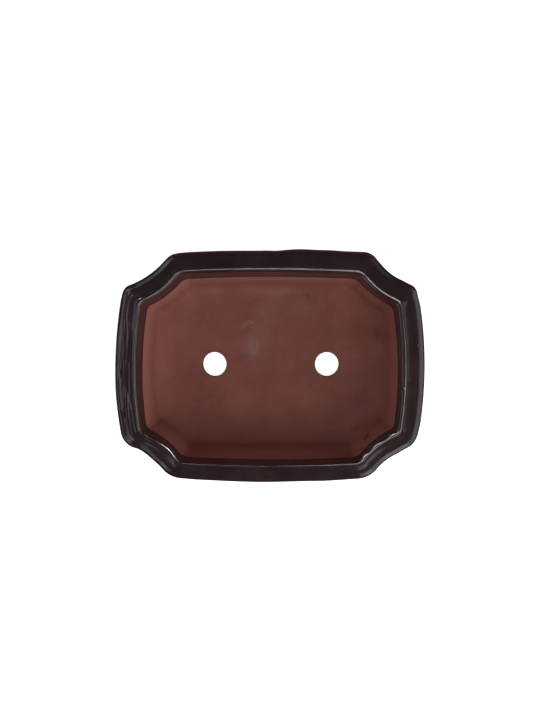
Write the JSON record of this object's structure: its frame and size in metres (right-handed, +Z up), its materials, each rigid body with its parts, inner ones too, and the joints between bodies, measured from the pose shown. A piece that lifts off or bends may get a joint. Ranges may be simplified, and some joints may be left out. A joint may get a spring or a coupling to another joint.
{
  "type": "bonsai pot",
  "caption": "Long rectangular glazed bonsai pot with indented corners, a wide rolled lip, bracket feet and drain holes through an unglazed floor.",
  "frame": {"origin": "on the table, under the middle of the pot", "axes": "+X along the pot's length, +Y towards its back long side, +Z up"},
  "size_m": [0.205, 0.1538, 0.07],
  "materials": {
    "fired_clay": "unglazed red-brown fired clay, matte, faintly sandy",
    "brown_glaze": "very dark brown gloss glaze that breaks to red-brown on its edges"
  },
  "bodies": {
    "root": {"floor_slab": "fired_clay", "front_wall": "fired_clay", "back_wall": "fired_clay", "left_wall": "fired_clay", "right_wall": "fired_clay", "front_left_corner_wall": "fired_clay", "front_right_corner_wall": "fired_clay", "back_left_corner_wall": "fired_clay", "back_right_corner_wall": "fired_clay", "front_lip": "fired_clay", "back_lip": "fired_clay", "left_lip": "fired_clay", "right_lip": "fired_clay", "front_left_lip_corner": "fired_clay", "front_right_lip_corner": "fired_clay", "back_left_lip_corner": "fired_clay", "back_right_lip_corner": "fired_clay", "front_seam_coil": "fired_clay", "back_seam_coil": "fired_clay", "left_seam_coil": "fired_clay", "right_seam_coil": "fired_clay", "front_left_seam_coil": "fired_clay", "front_right_seam_coil": "fired_clay", "back_left_seam_coil": "fired_clay", "back_right_seam_coil": "fired_clay", "front_left_foot": "fired_clay", "front_right_foot": "fired_clay", "back_left_foot": "fired_clay", "back_right_foot": "fired_clay", "lip_glaze": "brown_glaze", "wall_glaze": "brown_glaze", "foot_glaze": "brown_glaze"}
  },
  "joints": []
}
